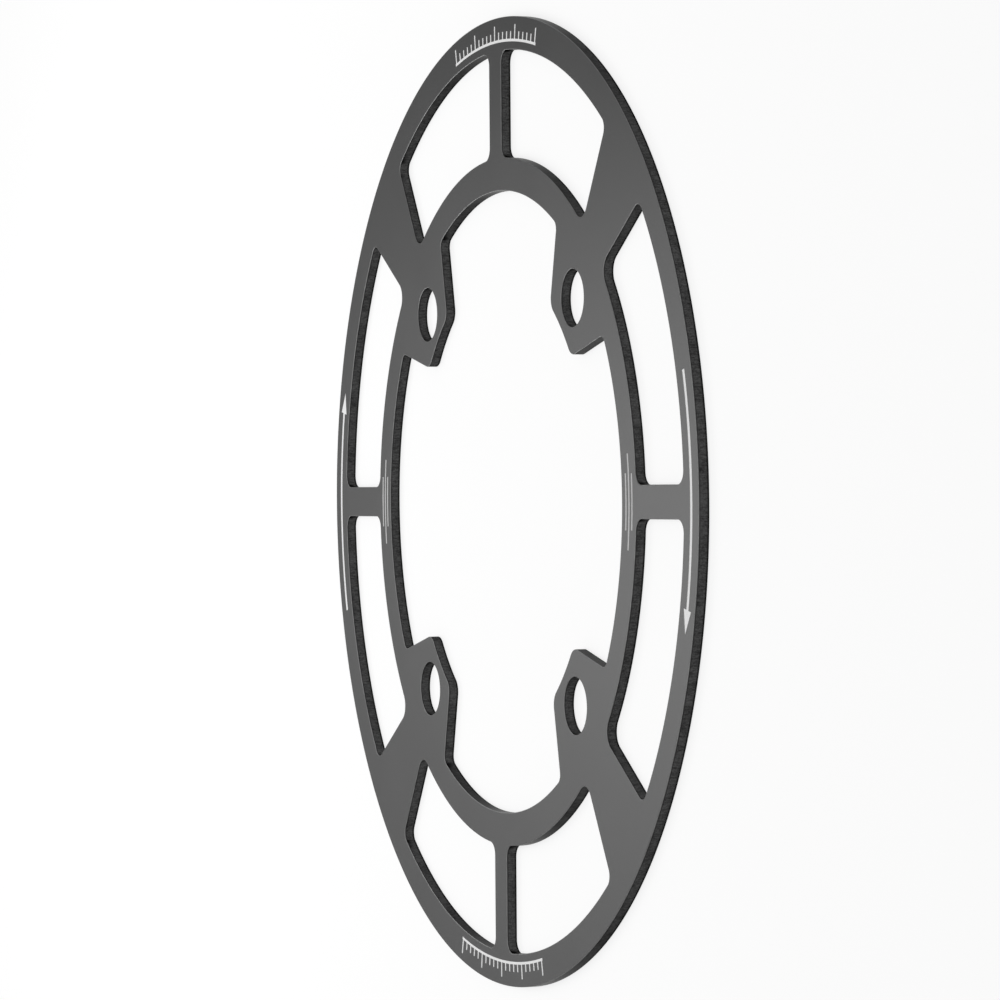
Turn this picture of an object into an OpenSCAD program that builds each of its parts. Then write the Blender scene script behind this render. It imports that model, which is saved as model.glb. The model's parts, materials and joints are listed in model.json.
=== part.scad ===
// Chainring guard: one flat aluminium plate that bolts to the crank outside
// the chainring. It lies on its back face with the marked face up. The origin
// is on the crank's axis, in the plane of the back face.

/* [Plate] */
// Thickness of the plate
plate_t = 2; // [1:0.1:5]
// Diameter over the rim
outer_d = 182; // [176:1:200]
// Radial width of the rim
rim_w = 6.2; // [5:0.1:8]

/* [Inner band] */
// Diameter of the central opening
opening_d = 117; // [114:1:122]
// Radial width of the band around the central opening
band_w = 6.2; // [5:0.1:8]

/* [Spokes] */
// Width of each spoke between the band and the rim
spoke_w = 6; // [4:0.1:10]

/* [Arms] */
// Width of each arm where it leaves the band
arm_w = 11.5; // [9:0.5:15]
// Angle by which each side of an arm spreads on its way to the rim
arm_flare = 12.7; // [6:0.1:18]

/* [Bolts] */
// Number of bolt holes, each with its arm, and of spokes between the arms
bolt_n = 4; // [3:1:6]
// Diameter of the bolt circle
bolt_circle_d = 104; // [102:0.5:107]
// Diameter of each bolt hole
bolt_hole_d = 10.5; // [8:0.1:12]

/* [Bolt tabs] */
// Wall left between each bolt hole and the hollow inner end of its tab
tab_land = 2.35; // [1:0.05:4]
// Width of each tab at its inner end
tab_w = 14.3; // [12:0.1:17]
// Angle by which each side of a tab spreads on its way to the band
tab_flare = 32.2; // [25:0.1:38]

/* [Corner radii] */
// Window corners beside the spokes
spoke_corner_r = 2.4; // [1:0.1:4]
// Window corners between the arms and the rim
arm_rim_corner_r = 2.1; // [1:0.1:4]
// Window corners between the arms and the band
arm_band_corner_r = 3.1; // [1:0.1:4]
// Corners where the tabs leave the band
tab_root_r = 1.8; // [0.5:0.1:3]
// Tips of the tabs
tab_tip_r = 3; // [1:0.1:4]

/* [Etched marks] */
// Depth of the etching in the front face
mark_depth = 0.05; // [0.02:0.01:0.3]
// Length of each direction arrow along the rim
arrow_l = 45.5; // [30:0.5:50]
// Width of the arrow's shaft
arrow_w = 0.9; // [0.6:0.1:2]
// Length of the arrow's head
arrow_head_l = 4.3; // [3:0.1:6]
// Width of the arrow's head
arrow_head_w = 3; // [2.4:0.1:4]
// Length of each tick scale along the rim
scale_l = 41.5; // [30:0.5:50]
// Spaces between the long ticks of a scale
scale_steps = 4; // [2:1:6]
// Spaces between ticks from one long tick to the next
scale_substeps = 5; // [2:1:5]
// Length of the long ticks
tick_long_l = 3.2; // [2.4:0.1:4]
// Length of the short ticks
tick_short_l = 1.9; // [1.2:0.1:2.4]
// Width of the ticks, and of the line they stand on
tick_w = 0.5; // [0.3:0.1:0.8]
// Length of the middle stripe of each stripe mark on the band
stripe_long_l = 17; // [12:1:24]
// Length of the two outer stripes
stripe_short_l = 10; // [6:1:12]
// Width of each stripe
stripe_w = 0.6; // [0.5:0.1:1.2]
// Gap between the stripes
stripe_gap = 0.7; // [0.3:0.1:0.8]

/* [Hidden] */
$fn = 180;

outer_r = outer_d / 2;
rim_r = outer_r - rim_w;
rim_mid_r = rim_r + rim_w / 2;
opening_r = opening_d / 2;
band_r = opening_r + band_w;
band_mid_r = opening_r + band_w / 2;
tab_end_r = bolt_circle_d / 2 - bolt_hole_d / 2 - tab_land;
pitch = 360 / bolt_n;

// each round passes its two edges by this much, so that the outline closes
bite = 0.001;
// a cutter stands this far proud of the face that it cuts
clear = 1;
// an arrow's shaft stops inside its head, this share of the head's length from the tip
shaft_stop = 0.8;

// an edge is a point on it, its outward direction, and the side that is rounded
spoke_edge = [[0, spoke_w / 2], [1, 0], [0, 1]];
arm_axis = dir(pitch / 2);
arm_side = dir(pitch / 2 - arm_flare);
arm_edge = [band_r * arm_axis - arm_w / 2 * left(arm_axis), arm_side, -left(arm_side)];
tab_side = dir(tab_flare);
tab_edge = [[tab_end_r, tab_w / 2], tab_side, -left(tab_side)];
tab_root_edge = [tab_edge[0], tab_side, left(tab_side)];

function dir(angle) = [cos(angle), sin(angle)];
function left(v) = [-v[1], v[0]];
function unit(v) = v / norm(v);
function arc_angle(length, r) = length / r * 180 / PI;

// where an edge crosses the line y = level
function edge_at(edge, level) = edge[0] + (level - edge[0][1]) / edge[1][1] * edge[1];

// centre of a round that stands d off an edge and c_r from the axis
function round_centre(edge, d, c_r) =
    let (p = edge[0] + d * edge[2], along = p * edge[1])
    p + (sqrt(c_r * c_r - p * p + along * along) - along) * edge[1];

module both_sides() {
    children();
    mirror([0, 1]) children();
}

// What a round of radius r takes off the sharp corner between an edge and a
// circle about the axis. side is 1 inside that circle and -1 outside it.
module corner_waste(edge, circle_r, side, r) {
    c = round_centre(edge, r - bite, circle_r - side * (r - bite));
    to_circle = side * unit(c) * 3 * r;
    to_edge = -edge[2] * 3 * r;
    difference() {
        polygon([c, c + to_circle, c + to_circle + to_edge, c + to_edge]);
        translate(c) circle(r);
    }
}

// the window between the spoke on +X and the arm to its left
module window() {
    apex = edge_at(arm_edge, spoke_w / 2);
    difference() {
        intersection() {
            circle(rim_r);
            polygon([apex, apex + outer_d * spoke_edge[1], apex + outer_d * arm_side]);
        }
        circle(band_r);
        corner_waste(spoke_edge, rim_r, 1, spoke_corner_r);
        corner_waste(spoke_edge, band_r, -1, spoke_corner_r);
        corner_waste(arm_edge, rim_r, 1, arm_rim_corner_r);
        corner_waste(arm_edge, band_r, -1, arm_band_corner_r);
    }
}

// a bolt tab on +X, before the band is added to it
module tab() {
    apex = edge_at(tab_edge, 0);
    difference() {
        polygon([apex, apex + opening_d * dir(-tab_flare), apex + opening_d * tab_side]);
        circle(tab_end_r);
        both_sides() corner_waste(tab_edge, tab_end_r, -1, tab_tip_r);
    }
}

// the central opening, which the tabs reach into
module opening() {
    difference() {
        circle(opening_r);
        for (i = [0 : bolt_n - 1]) rotate(pitch * (i + 0.5)) {
            tab();
            both_sides() corner_waste(tab_root_edge, opening_r, 1, tab_root_r);
        }
    }
}

module outline() {
    difference() {
        circle(outer_r);
        opening();
        for (i = [0 : bolt_n - 1]) {
            rotate(pitch * i) both_sides() window();
            rotate(pitch * (i + 0.5)) translate([bolt_circle_d / 2, 0]) circle(bolt_hole_d / 2);
        }
    }
}

// a line of width w that runs round the axis from angle a to angle b
module arc_line(r, w, a, b) {
    reach = 2 * r;
    difference() {
        intersection() {
            circle(r + w / 2);
            polygon([[0, 0], reach * dir(a), reach * dir((a + b) / 2), reach * dir(b)]);
        }
        circle(r - w / 2);
    }
}

// a direction arrow across +X that points clockwise
module arrow() {
    half = arc_angle(arrow_l / 2, rim_mid_r);
    head = arc_angle(arrow_head_l, rim_mid_r);
    base = dir(head - half);
    arc_line(rim_mid_r, arrow_w, shaft_stop * head - half, half);
    polygon([
        rim_mid_r * dir(-half),
        (rim_mid_r + arrow_head_w / 2) * base,
        (rim_mid_r - arrow_head_w / 2) * base
    ]);
}

// a tick scale across +X, with its ticks standing outwards on an arc
module tick_scale() {
    half = arc_angle(scale_l / 2, rim_mid_r);
    last = half - arc_angle(tick_w, rim_mid_r);
    line_r = rim_mid_r - (tick_long_l - tick_w) / 2;
    n = scale_steps * scale_substeps;
    arc_line(line_r, tick_w, -half, half);
    for (i = [0 : n]) {
        l = (i % scale_substeps == 0 ? tick_long_l : tick_short_l) - tick_w / 2;
        rotate(last * (2 * i / n - 1)) translate([line_r, -tick_w / 2]) square([l, tick_w]);
    }
}

// three stripes along the band across +X
module stripes() {
    for (row = [-1 : 1]) {
        r = band_mid_r + row * (stripe_w + stripe_gap);
        half = arc_angle((row == 0 ? stripe_long_l : stripe_short_l) / 2, r);
        arc_line(r, stripe_w, -half, half);
    }
}

// arrows and stripes at every other spoke, tick scales at the spokes between
module marks() {
    for (i = [0 : bolt_n - 1]) rotate(pitch * i) {
        if (i % 2 == 0) {
            arrow();
            stripes();
        } else {
            tick_scale();
        }
    }
}

module guard_plate() {
    color("#55585b") difference() {
        linear_extrude(plate_t) outline();
        translate([0, 0, plate_t - mark_depth]) linear_extrude(mark_depth + clear) marks();
    }
}

guard_plate();
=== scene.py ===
# Chainring guard: one plate of dark anodised aluminium with laser-etched marks.
# It lies on its back face on a white floor, with the marked face up.
import bpy
import bmesh
import json
import math
from bmesh.types import BMEdge, BMFace, BMVert
from mathutils import Matrix, Vector


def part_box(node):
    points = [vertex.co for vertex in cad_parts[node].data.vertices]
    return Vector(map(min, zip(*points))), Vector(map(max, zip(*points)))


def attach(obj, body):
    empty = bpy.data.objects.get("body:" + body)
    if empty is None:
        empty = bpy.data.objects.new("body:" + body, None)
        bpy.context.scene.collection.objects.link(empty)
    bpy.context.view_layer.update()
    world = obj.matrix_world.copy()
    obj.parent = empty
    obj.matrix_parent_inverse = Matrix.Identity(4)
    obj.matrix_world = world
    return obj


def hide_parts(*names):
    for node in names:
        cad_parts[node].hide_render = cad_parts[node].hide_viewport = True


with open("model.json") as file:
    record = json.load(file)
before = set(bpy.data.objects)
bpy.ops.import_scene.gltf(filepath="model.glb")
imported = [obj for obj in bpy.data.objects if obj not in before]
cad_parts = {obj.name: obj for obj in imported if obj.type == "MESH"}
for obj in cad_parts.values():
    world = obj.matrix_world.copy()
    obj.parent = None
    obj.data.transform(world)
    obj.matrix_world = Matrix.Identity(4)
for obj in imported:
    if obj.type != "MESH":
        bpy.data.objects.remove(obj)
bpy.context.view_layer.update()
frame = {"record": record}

metresPerMm = 0.001
origin = (0, 0, 0)
upwards = (0, 0, 1)

# The plate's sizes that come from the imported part, in mm. Its rim is faceted, so its box is a little
# narrower than its circle, and the rounding gives the circle.
plateLow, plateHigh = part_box("guard_plate")
outerR = round((plateHigh.x - plateLow.x) / 2 / metresPerMm, 1)
thickness = (plateHigh.z - plateLow.z) / metresPerMm
boltCircle = next(m["dims"] for m in frame["record"]["mounts"] if m["name"] == "bolt_circle")
boltCount = boltCircle["count"]
pitch = 2 * math.pi / boltCount

# What the plate is cut to, in mm and degrees. The rounds are the corners' radii.
plate = {
    "rimWidth": 6.2,
    "openingR": 58.5,
    "bandWidth": 6.2,
    "spokeWidth": 6.0,
    "armWidth": 11.5,
    "armFlare": 12.7,
    "tabEndR": 44.4,
    "tabWidth": 14.3,
    "tabFlare": 32.2,
    "spokeRound": 2.4,
    "armRimRound": 2.1,
    "armBandRound": 3.1,
    "tabRootRound": 1.8,
    "tabTipRound": 3.0,
    "edgeBreak": 0.12,
    "edgeBreakSteps": 2,
    "sharpAngle": 12.0,
    "chordError": 0.003,
    "mergeDistance": 0.001,
}
rimR = outerR - plate["rimWidth"]
rimMiddle = rimR + plate["rimWidth"] / 2
bandR = plate["openingR"] + plate["bandWidth"]
bandMiddle = plate["openingR"] + plate["bandWidth"] / 2

# The etched marks, in mm
marks = {
    "depth": 0.05,
    "wallSlope": 0.02,
    "arrowLength": 45.5,
    "arrowWidth": 0.9,
    "headLength": 4.3,
    "headWidth": 3.0,
    "scaleLength": 41.5,
    "scaleSteps": 4,
    "scaleSubsteps": 5,
    "longTick": 3.2,
    "shortTick": 1.9,
    "tickWidth": 0.5,
    "longStripe": 17.0,
    "shortStripe": 10.0,
    "stripeWidth": 0.6,
    "stripeGap": 0.7,
}

# Material slots on the plate, after slot 0, which its faces have
wallSlot, edgeSlot, markSlot, stripeSlot = range(1, 5)


def direction(angle):
    return Vector((math.cos(angle), math.sin(angle), 0))


def leftOf(v):
    return Vector((-v.y, v.x, 0))


def angleOf(v):
    return math.atan2(v.y, v.x)


# The vertices, edges or faces among what an operator made
def pick(geom, kind):
    return [g for g in geom if isinstance(g, kind)]


# Steps for an arc, so that its chords stay close to it
def stepsFor(radius, angle):
    largest = 2 * math.acos(1 - plate["chordError"] / radius)
    return max(1, math.ceil(abs(angle) / largest))


# Turns a vertex or an edge about a point and gives what it ends as. An edge gets the rim's steps.
def turn(bm, start, centre, angle, steps=None):
    radius = (start.co - Vector(centre)).length if isinstance(start, BMVert) else outerR
    swept = bmesh.ops.spin(bm, geom=[start], cent=centre, axis=upwards, angle=angle,
                           steps=steps or stepsFor(radius, angle))
    return pick(swept["geom_last"], type(start))[0]


def lineTo(bm, start, point):
    end = bmesh.ops.extrude_vert_indiv(bm, verts=[start])["verts"][0]
    end.co = point
    return end


# Extrudes edges along a vector and gives the new geometry
def extrudeEdges(bm, edges, vec):
    geom = bmesh.ops.extrude_edge_only(bm, edges=edges)["geom"]
    bmesh.ops.translate(bm, verts=pick(geom, BMVert), vec=vec)
    return geom


# An edge of the outline is a point on it, the way it runs outwards, and the side that is rounded.
# This is the centre of a round that stands d off such an edge and centreR from the axis.
def roundCentre(edge, d, centreR):
    point, along, side = edge
    p = point + d * side
    run = p.dot(along)
    return p + (math.sqrt(centreR ** 2 - p.length_squared + run ** 2) - run) * along


# The window between the spoke on +X and the arm to its left
def drawWindow(bm):
    arm = direction(pitch / 2)
    armSide = direction(pitch / 2 - math.radians(plate["armFlare"]))
    spokeEdge = (Vector((0, plate["spokeWidth"] / 2, 0)), Vector((1, 0, 0)), Vector((0, 1, 0)))
    armEdge = (bandR * arm - plate["armWidth"] / 2 * leftOf(arm), armSide, -leftOf(armSide))
    small, rimRound, bandRound = plate["spokeRound"], plate["armRimRound"], plate["armBandRound"]
    spokeRim = roundCentre(spokeEdge, small, rimR - small)
    armRim = roundCentre(armEdge, rimRound, rimR - rimRound)
    armBand = roundCentre(armEdge, bandRound, bandR + bandRound)
    spokeBand = roundCentre(spokeEdge, small, bandR + small)
    toArm = angleOf(leftOf(armSide))
    first = bm.verts.new(spokeRim - small * spokeEdge[2])
    pen = turn(bm, first, spokeRim, angleOf(spokeRim) + math.pi / 2)
    pen = turn(bm, pen, origin, angleOf(armRim) - angleOf(spokeRim))
    pen = turn(bm, pen, armRim, toArm - angleOf(armRim))
    pen = lineTo(bm, pen, armBand - bandRound * armEdge[2])
    pen = turn(bm, pen, armBand, angleOf(armBand) + math.pi - toArm)
    pen = turn(bm, pen, origin, angleOf(spokeBand) - angleOf(armBand))
    pen = turn(bm, pen, spokeBand, math.pi / 2 - angleOf(spokeBand))
    lineTo(bm, pen, first.co)


# The central opening's edge, from the middle of a tab's end to the spoke on +X
def drawOpening(bm):
    tab = direction(pitch / 2)
    tabSide = direction(pitch / 2 - math.radians(plate["tabFlare"]))
    outwards = -leftOf(tabSide)
    corner = plate["tabEndR"] * tab - plate["tabWidth"] / 2 * leftOf(tab)
    tipRound, rootRound = plate["tabTipRound"], plate["tabRootRound"]
    tip = roundCentre((corner, tabSide, -outwards), tipRound, plate["tabEndR"] + tipRound)
    root = roundCentre((corner, tabSide, outwards), rootRound, plate["openingR"] - rootRound)
    pen = bm.verts.new(plate["tabEndR"] * tab)
    pen = turn(bm, pen, origin, angleOf(tip) - pitch / 2)
    pen = turn(bm, pen, tip, angleOf(outwards) - (angleOf(tip) - math.pi))
    pen = lineTo(bm, pen, root - rootRound * outwards)
    pen = turn(bm, pen, root, angleOf(root) - angleOf(-outwards))
    turn(bm, pen, origin, -angleOf(root))


def drawCircle(bm, radius):
    steps = stepsFor(radius, 2 * math.pi)
    return bmesh.ops.create_circle(bm, segments=steps, radius=radius)["verts"]


# Every edge of the plate's outline, on the front face. One half pitch is drawn, mirrored and turned.
def drawOutline(bm):
    drawWindow(bm)
    drawOpening(bm)
    bmesh.ops.mirror(bm, geom=bm.verts[:] + bm.edges[:], matrix=Matrix(), merge_dist=-1, axis="Y")
    hole = drawCircle(bm, boltCircle["hole_r_mm"])
    bmesh.ops.translate(bm, verts=hole, vec=boltCircle["pcd_mm"] / 2 * direction(pitch / 2))
    bmesh.ops.spin(bm, geom=bm.verts[:] + bm.edges[:], cent=origin, axis=upwards,
                   angle=2 * math.pi - pitch, steps=boltCount - 1, use_duplicate=True)
    drawCircle(bm, outerR)
    bmesh.ops.remove_doubles(bm, verts=bm.verts, dist=plate["mergeDistance"])
    bmesh.ops.translate(bm, verts=bm.verts, vec=(0, 0, thickness))
    return bm.edges[:]


# A short radial edge across a line of that width
def crossEdge(bm, radius, width, angle):
    ends = [bm.verts.new((radius + s * width / 2) * direction(angle)) for s in (1, -1)]
    return bm.edges.new(ends)


# A line of that width and length that runs round the axis, centred on +X
def drawArcLine(bm, radius, width, length):
    half = length / 2 / radius
    turn(bm, crossEdge(bm, radius, width, -half), origin, 2 * half)


# A direction arrow across +X that points clockwise
def drawArrow(bm):
    half = marks["arrowLength"] / 2 / rimMiddle
    head = marks["headLength"] / rimMiddle
    last = turn(bm, crossEdge(bm, rimMiddle, marks["arrowWidth"], half), origin, head - 2 * half)
    outer, inner = sorted(last.verts, key=lambda v: -v.co.length)
    barbs = [bm.verts.new((rimMiddle + s * marks["headWidth"] / 2) * direction(head - half))
             for s in (1, -1)]
    tip = bm.verts.new(rimMiddle * direction(-half))
    bm.faces.new([barbs[0], outer, inner, barbs[1], tip])


# Three stripes along the band across +X
def drawStripes(bm):
    for row, length in ((-1, marks["shortStripe"]), (0, marks["longStripe"]), (1, marks["shortStripe"])):
        radius = bandMiddle + row * (marks["stripeWidth"] + marks["stripeGap"])
        drawArcLine(bm, radius, marks["stripeWidth"], length)


# A tick scale across +X: an arc with ticks that stand outwards on it
def drawScale(bm):
    width = marks["tickWidth"]
    lineR = rimMiddle - (marks["longTick"] - width) / 2
    half = marks["scaleLength"] / 2 / rimMiddle
    last = half - width / rimMiddle
    ticks = marks["scaleSteps"] * marks["scaleSubsteps"]
    tickAngle = width / (lineR + width / 2)
    gapAngle = 2 * last / ticks - tickAngle
    margin = half - last - tickAngle / 2
    pen = turn(bm, crossEdge(bm, lineR, width, -half), origin, margin, steps=1)
    for i in range(ticks + 1):
        start = max(pen.verts, key=lambda v: v.co.length)
        pen = turn(bm, pen, origin, tickAngle, steps=1)
        end = max(pen.verts, key=lambda v: v.co.length)
        long = i % marks["scaleSubsteps"] == 0
        reach = (marks["longTick"] if long else marks["shortTick"]) - width
        foot = bm.edges.get((start, end))
        extrudeEdges(bm, [foot], reach * (start.co + end.co).normalized())
        if i < ticks:
            pen = turn(bm, pen, origin, gapAngle, steps=2)
    turn(bm, pen, origin, margin, steps=1)


# All the marks as flat faces on the front face: arrows and stripes on X, tick scales on Y
def drawMarks(bm):
    outline = set(bm.verts)
    drawScale(bm)
    scale = [v for v in bm.verts if v not in outline]
    bmesh.ops.rotate(bm, verts=scale, cent=origin, matrix=Matrix.Rotation(math.pi / 2, 3, "Z"))
    drawArrow(bm)
    drawStripes(bm)
    verts = [v for v in bm.verts if v not in outline]
    edges = [e for e in bm.edges if e.verts[0] not in outline]
    bmesh.ops.spin(bm, geom=verts + edges + bm.faces[:], cent=origin, axis=upwards, angle=math.pi,
                   steps=1, use_duplicate=True)
    drawn = [v for v in bm.verts if v not in outline]
    bmesh.ops.translate(bm, verts=drawn, vec=(0, 0, thickness))
    bmesh.ops.recalc_face_normals(bm, faces=bm.faces)
    for face in bm.faces:
        face.material_index = markSlot if face.calc_center_median().xy.length > rimR else stripeSlot
        if face.normal.z < 0:
            face.normal_flip()
    return [e for e in bm.edges if e.is_boundary]


def addObject(name, data):
    piece = bpy.data.objects.new(name, data)
    bpy.context.scene.collection.objects.link(piece)
    return piece


# Makes a shape that was drawn in mm an object in metres
def addPiece(bm, name):
    bmesh.ops.scale(bm, vec=[metresPerMm] * 3, verts=bm.verts)
    mesh = bpy.data.meshes.new(name)
    bm.to_mesh(mesh)
    bm.free()
    mesh.shade_smooth()
    return addObject(name, mesh)


# Whether an edge is where a wall meets the front or the back face
def isRim(edge):
    level = edge.verts[0].co.z == edge.verts[1].co.z
    return level and wallSlot in [f.material_index for f in edge.link_faces]


def buildPlate():
    bm = bmesh.new()
    outline = drawOutline(bm)
    markOutline = drawMarks(bm)
    print("plate outline:", len(outline), "edges, marks:", len(markOutline), "edges")
    walls = extrudeEdges(bm, outline, (0, 0, -thickness))
    for wall in pick(walls, BMFace):
        wall.material_index = wallSlot
    bmesh.ops.triangle_fill(bm, edges=pick(walls, BMEdge), use_beauty=True, normal=(0, 0, -1))
    bmesh.ops.triangle_fill(bm, edges=outline + markOutline, use_beauty=True, normal=upwards)
    bmesh.ops.recalc_face_normals(bm, faces=bm.faces)
    markFaces = [f for f in bm.faces if f.material_index in (markSlot, stripeSlot)]
    bmesh.ops.inset_region(bm, faces=markFaces, thickness=marks["wallSlope"], depth=-marks["depth"],
                           use_even_offset=True)
    broken = bmesh.ops.bevel(bm, geom=[e for e in bm.edges if isRim(e)], offset=plate["edgeBreak"],
                             segments=plate["edgeBreakSteps"], profile=0.5, affect="EDGES",
                             material=-1, clamp_overlap=False)
    # The front breaks take the finish with the painted highlight. The back ones take the wall's finish,
    # with its painted shade.
    for face in broken["faces"]:
        front = face.calc_center_median().z > thickness / 2
        face.material_index = edgeSlot if front else wallSlot
    print("plate volume:", round(bm.calc_volume()), "mm3,", len(bm.faces), "faces,",
          len([e for e in bm.edges if not e.is_manifold]), "open edges")
    piece = addPiece(bm, "guardPlate")
    piece.data.set_sharp_from_angle(angle=math.radians(plate["sharpAngle"]))
    return piece


# sRGB hex to linear
def linear(hexColour):
    channels = [int(hexColour[i:i + 2], 16) / 255 for i in (1, 3, 5)]
    return [c / 12.92 if c <= 0.04045 else ((c + 0.055) / 1.055) ** 2.4 for c in channels] + [1]


# Adds a node, gives its inputs values or links, and sets its own settings
def addNode(tree, kind, inputs=None, **settings):
    node = tree.nodes.new("ShaderNode" + kind)
    for name, value in settings.items():
        setattr(node, name, value)
    for name, value in (inputs or {}).items():
        if isinstance(value, bpy.types.NodeSocket):
            tree.links.new(value, node.inputs[name])
        else:
            node.inputs[name].default_value = value
    return node


def newMaterial(name):
    material = bpy.data.materials.new(name)
    material.use_nodes = True
    material.node_tree.nodes.clear()
    return material, material.node_tree


def finishMaterial(tree, shader):
    addNode(tree, "OutputMaterial", {"Surface": shader.outputs[0]})


# Frequency for a noise on Object coordinates, from a size in mm
def perMetre(sizeMm):
    return 1 / (sizeMm * metresPerMm)


# The dyed finishes, with sizes in mm
anodised = {
    "dark": "#323232",
    "light": "#404040",
    "roughness": (0.38, 0.46),
    "cloudSize": 22.0,
    "blastSize": 0.3,
    "blastShare": 0.5,
    "blastDepth": 0.012,
    "wallDark": "#252525",
    "wallLight": "#4c4c4c",
    # Painted shade: the next colour darkens a band of the walls along the back edge, by the floor, and a
    # thinner line along the front edge. The next two set how far these bands reach.
    "wallEdgeShadeAndLine": "#151515",
    "wallEdgeShadeAndLineDepth": (0.25, 0.5),
    "frontEdgeThinner": 0.15,
    "wallGrazing": 0.45,
    "wallRoughness": 0.3,
    "speckSize": 0.25,
    "streakSize": 0.3,
    "streakLength": 1.2,
    "mottleSize": 4.0,
    "mottleShare": 0.5,
    "wallTones": (1.0, 1.5),
    "wallDepth": 0.015,
    # The next four set the front edge breaks: two tones of painted highlight, their roughness, and the
    # size of the patches in which they vary along the edge.
    "edgeHighlightLow": "#5a5a5a",
    "edgeHighlightHigh": "#7e7e7e",
    "edgeRoughness": (0.52, 0.44),
    "edgeHighlightPatchSize": 1.5,
}


# The faces are bead blasted and dyed: a fine even grain, with a satin sheen that grows towards
# grazing. The blast grain is drawn about twice as coarse as the real one, to show at all.
def blastedAluminium():
    material, tree = newMaterial("anodisedAluminiumBlasted")
    place = addNode(tree, "TexCoord").outputs["Object"]
    cloud = addNode(tree, "TexNoise", {"Vector": place, "Scale": perMetre(anodised["cloudSize"]),
                                       "Detail": 3.0, "Roughness": 0.55}).outputs["Fac"]
    grain = addNode(tree, "TexNoise", {"Vector": place, "Scale": perMetre(anodised["blastSize"]),
                                       "Detail": 2.0, "Roughness": 0.6}).outputs["Fac"]
    share = anodised["blastShare"]
    grainTone = addNode(tree, "Math", {0: grain, 1: share, 2: -share / 2}, operation="MULTIPLY_ADD")
    tone = addNode(tree, "Math", {0: cloud, 1: grainTone.outputs[0]}, operation="ADD", use_clamp=True)
    colour = addNode(tree, "Mix", {"Factor": tone.outputs[0], "A": linear(anodised["dark"]),
                                   "B": linear(anodised["light"])}, data_type="RGBA")
    rough = addNode(tree, "MapRange", {"Value": tone.outputs[0], "To Min": anodised["roughness"][0],
                                       "To Max": anodised["roughness"][1]})
    bump = addNode(tree, "Bump", {"Height": grain, "Strength": 0.35,
                                  "Distance": anodised["blastDepth"] * metresPerMm})
    shader = addNode(tree, "BsdfPrincipled", {"Metallic": 1.0, "Base Color": colour.outputs["Result"],
                                              "Roughness": rough.outputs["Result"],
                                              "Normal": bump.outputs["Normal"]})
    finishMaterial(tree, shader)
    return material


# The walls keep the marks of the cutter under the same dye: fine streaks across the thickness,
# broken up into specks by the blasting. The rough oxide stays dark at grazing too. The colour is
# painted darker in a band along the back edge, as painted shade where the wall meets the floor,
# and in a thinner dark line along the front edge.
def cutAluminium():
    material, tree = newMaterial("anodisedAluminiumCut")
    place = addNode(tree, "TexCoord").outputs["Object"]
    across, down = perMetre(anodised["streakSize"]), perMetre(anodised["streakLength"])
    stretched = addNode(tree, "Mapping", {"Vector": place, "Scale": (across, across, down)})
    streaks = addNode(tree, "TexNoise", {"Vector": stretched.outputs[0], "Scale": 1.0,
                                         "Detail": 2.0, "Roughness": 0.6}).outputs["Fac"]
    specks = addNode(tree, "TexNoise", {"Vector": place, "Scale": perMetre(anodised["speckSize"]),
                                        "Detail": 2.0, "Roughness": 0.7}).outputs["Fac"]
    mottle = addNode(tree, "TexNoise", {"Vector": place, "Scale": perMetre(anodised["mottleSize"]),
                                        "Detail": 3.0, "Roughness": 0.6}).outputs["Fac"]
    cut = addNode(tree, "Math", {0: streaks, 1: specks}, operation="ADD").outputs[0]
    tone = addNode(tree, "Math", {0: mottle, 1: anodised["mottleShare"], 2: cut}, operation="MULTIPLY_ADD")
    spread = addNode(tree, "MapRange", {"Value": tone.outputs[0], "From Min": anodised["wallTones"][0],
                                        "From Max": anodised["wallTones"][1]})
    dyed = addNode(tree, "Mix", {"Factor": spread.outputs["Result"], "A": linear(anodised["wallDark"]),
                                 "B": linear(anodised["wallLight"])}, data_type="RGBA")
    # Painted shade: the colour goes to the dark edge tone within a band at the back edge, next to the
    # floor, and within a thinner band at the front edge.
    height = addNode(tree, "SeparateXYZ", {"Vector": place}).outputs["Z"]
    frontReach = (thickness + anodised["frontEdgeThinner"]) * metresPerMm
    fromFront = addNode(tree, "Math", {0: frontReach, 1: height}, operation="SUBTRACT").outputs[0]
    fromEdge = addNode(tree, "Math", {0: height, 1: fromFront}, operation="MINIMUM").outputs[0]
    outer, inner = [d * metresPerMm for d in anodised["wallEdgeShadeAndLineDepth"]]
    within = addNode(tree, "MapRange", {"Value": fromEdge, "From Min": outer, "From Max": inner})
    colour = addNode(tree, "Mix", {"Factor": within.outputs["Result"], "A": linear(anodised["wallEdgeShadeAndLine"]),
                                   "B": dyed.outputs["Result"]}, data_type="RGBA")
    bump = addNode(tree, "Bump", {"Height": cut, "Strength": 0.6,
                                  "Distance": anodised["wallDepth"] * metresPerMm})
    shader = addNode(tree, "BsdfPrincipled", {"Metallic": 1.0, "Base Color": colour.outputs["Result"],
                                              "Roughness": anodised["wallRoughness"],
                                              "Specular Tint": [anodised["wallGrazing"]] * 3 + [1],
                                              "Normal": bump.outputs["Normal"]})
    finishMaterial(tree, shader)
    return material


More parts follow.
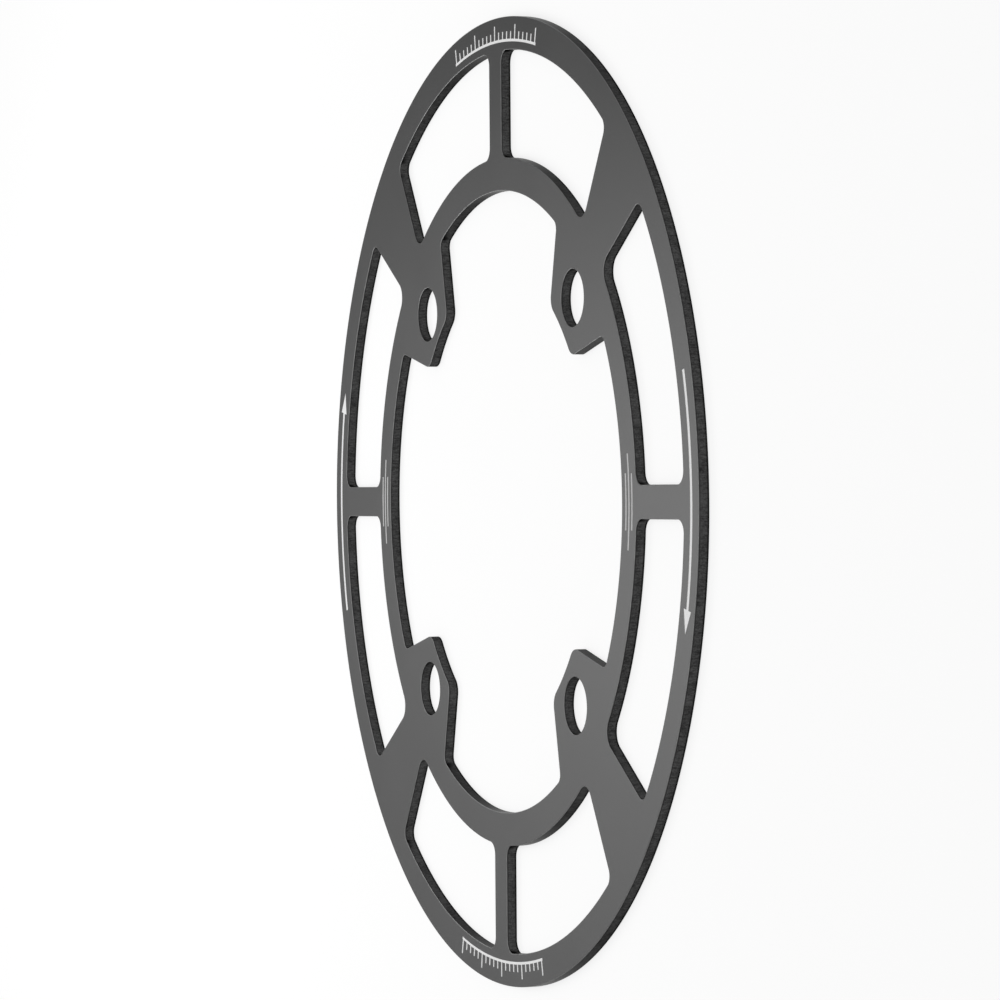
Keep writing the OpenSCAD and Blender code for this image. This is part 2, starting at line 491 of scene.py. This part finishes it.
# The broken front edges carry a painted highlight: a lighter base colour shows as a thin light
# line round every cut. A noise varies it and the roughness along the edge, so the line is
# lighter and smoother in some places than in others.
def edgeAluminium():
    material, tree = newMaterial("anodisedEdgePaintedHighlight")
    place = addNode(tree, "TexCoord").outputs["Object"]
    highlightPatches = addNode(tree, "TexNoise", {"Vector": place, "Scale": perMetre(anodised["edgeHighlightPatchSize"]),
                                      "Detail": 3.0, "Roughness": 0.6}).outputs["Fac"]
    colour = addNode(tree, "Mix", {"Factor": highlightPatches, "A": linear(anodised["edgeHighlightLow"]),
                                   "B": linear(anodised["edgeHighlightHigh"])}, data_type="RGBA")
    rough = addNode(tree, "MapRange", {"Value": highlightPatches, "To Min": anodised["edgeRoughness"][0],
                                       "To Max": anodised["edgeRoughness"][1]})
    shader = addNode(tree, "BsdfPrincipled", {"Metallic": 1.0, "Base Color": colour.outputs["Result"],
                                              "Roughness": rough.outputs["Result"]})
    finishMaterial(tree, shader)
    return material


# The etched finishes, with the speck's size in mm
etched = {
    "full": ("#d6d6d6", "#ebebeb"),
    "light": ("#aaaaaa", "#c2c2c2"),
    "speckSize": 0.3,
    "roughness": 0.6,
}


# The laser burns the dye out and leaves the oxide frosted: matt, near white, faintly speckled.
# A lighter burn leaves some of the dye, and so a grey.
def etchedOxide(burn):
    material, tree = newMaterial(burn + "LaserEtchedOxide")
    place = addNode(tree, "TexCoord").outputs["Object"]
    specks = addNode(tree, "TexNoise", {"Vector": place, "Scale": perMetre(etched["speckSize"]),
                                        "Detail": 2.0}).outputs["Fac"]
    dark, pale = [linear(c) for c in etched[burn]]
    colour = addNode(tree, "Mix", {"Factor": specks, "A": dark, "B": pale}, data_type="RGBA")
    shader = addNode(tree, "BsdfPrincipled", {"Base Color": colour.outputs["Result"],
                                              "Roughness": etched["roughness"]})
    finishMaterial(tree, shader)
    return material


# Studio: white floor, plain world and soft lamps. Places are in mm from the plate's middle.
studio = {
    "floorR": 3000.0,
    "floorSides": 96,
    "backdropHeight": 500.0,
    "backdropBend": 400.0,
    "bendSteps": 8,
    "floorGap": 0.02,
    "floorColour": "#fcfcfc",
    "floorGlow": 0.78,
    "world": 0.44,
    "lamps": {
        "nearBackLamp": {"place": (-267, 23, 225), "size": 146, "watts": 0.155},
        "farBackLamp": {"place": (-453, -80, 386), "size": 250, "watts": 0.69},
        "topLamp": {"place": (0, 0, 800), "size": 600, "watts": 2.4},
    },
}


# A round floor, which bends up into a low backdrop for views from near its level. It is white by its
# own colour. What the camera sees of it, and what metal mirrors of it, is in part a plain white
# background, and the rest keeps the plate's shadow.
def buildFloor():
    bm = bmesh.new()
    bmesh.ops.create_circle(bm, cap_ends=True, segments=studio["floorSides"], radius=studio["floorR"])
    edge = bm.edges[:]
    extrudeEdges(bm, edge, (0, 0, studio["backdropHeight"]))
    bmesh.ops.bevel(bm, geom=edge, offset=studio["backdropBend"], segments=studio["bendSteps"],
                    profile=0.5, affect="EDGES", material=-1)
    bmesh.ops.translate(bm, verts=bm.verts, vec=(0, 0, -studio["floorGap"]))
    floor = addPiece(bm, "floor")
    material, tree = newMaterial("whitePaperFloor")
    rays = addNode(tree, "LightPath").outputs
    seen = 0
    for ray in ("Is Camera Ray", "Is Glossy Ray", "Is Transmission Ray"):
        seen = addNode(tree, "Math", {0: seen, 1: rays[ray]}, operation="MAXIMUM").outputs[0]
    share = addNode(tree, "Math", {0: seen, 1: studio["floorGlow"]}, operation="MULTIPLY").outputs[0]
    paper = addNode(tree, "BsdfDiffuse", {"Color": linear(studio["floorColour"])}).outputs[0]
    white = addNode(tree, "Emission", {"Color": (1, 1, 1, 1), "Strength": 1.0}).outputs[0]
    finishMaterial(tree, addNode(tree, "MixShader", {0: share, 1: paper, 2: white}))
    floor.data.materials.append(material)


def buildWorld():
    world = bpy.data.worlds.new("studio")
    world.use_nodes = True
    background = world.node_tree.nodes["Background"]
    background.inputs["Color"].default_value = (1, 1, 1, 1)
    background.inputs["Strength"].default_value = studio["world"]
    bpy.context.scene.world = world


def buildLamps():
    for name, lamp in studio["lamps"].items():
        light = bpy.data.lights.new(name, "AREA")
        light.shape = "SQUARE"
        light.size = lamp["size"] * metresPerMm
        light.energy = lamp["watts"]
        piece = addObject(name, light)
        piece.visible_camera = False
        piece.location = Vector(lamp["place"]) * metresPerMm
        piece.rotation_euler = (-piece.location).to_track_quat("-Z", "Y").to_euler()


# The photograph looks across the plate from beyond its +X side, with +Y up in the picture.
# Places and sizes are in mm, turns in degrees.
camera = {
    "place": (722.4, 2.7, 290.2),
    "turn": (-1.267, 68.218, -1.177),
    "lens": 148.57,
    "sensor": 36.0,
    "nearest": 10.0,
}


def buildCamera():
    lens = bpy.data.cameras.new("camera")
    lens.sensor_fit = "HORIZONTAL"
    lens.sensor_width = camera["sensor"]
    lens.lens = camera["lens"]
    lens.clip_start = camera["nearest"] * metresPerMm
    eye = addObject("camera", lens)
    eye.location = Vector(camera["place"]) * metresPerMm
    eye.rotation_euler = [math.radians(a) for a in camera["turn"]]
    bpy.context.scene.camera = eye


buildCamera()
print("camera placed")
guardPlate = buildPlate()
for finish in (blastedAluminium(), cutAluminium(), edgeAluminium(),
               etchedOxide("full"), etchedOxide("light")):
    guardPlate.data.materials.append(finish)
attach(guardPlate, "root")
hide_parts("guard_plate")
print("plate finished")
buildFloor()
buildWorld()
buildLamps()
bpy.context.scene.view_settings.view_transform = "Standard"
print("studio lit")
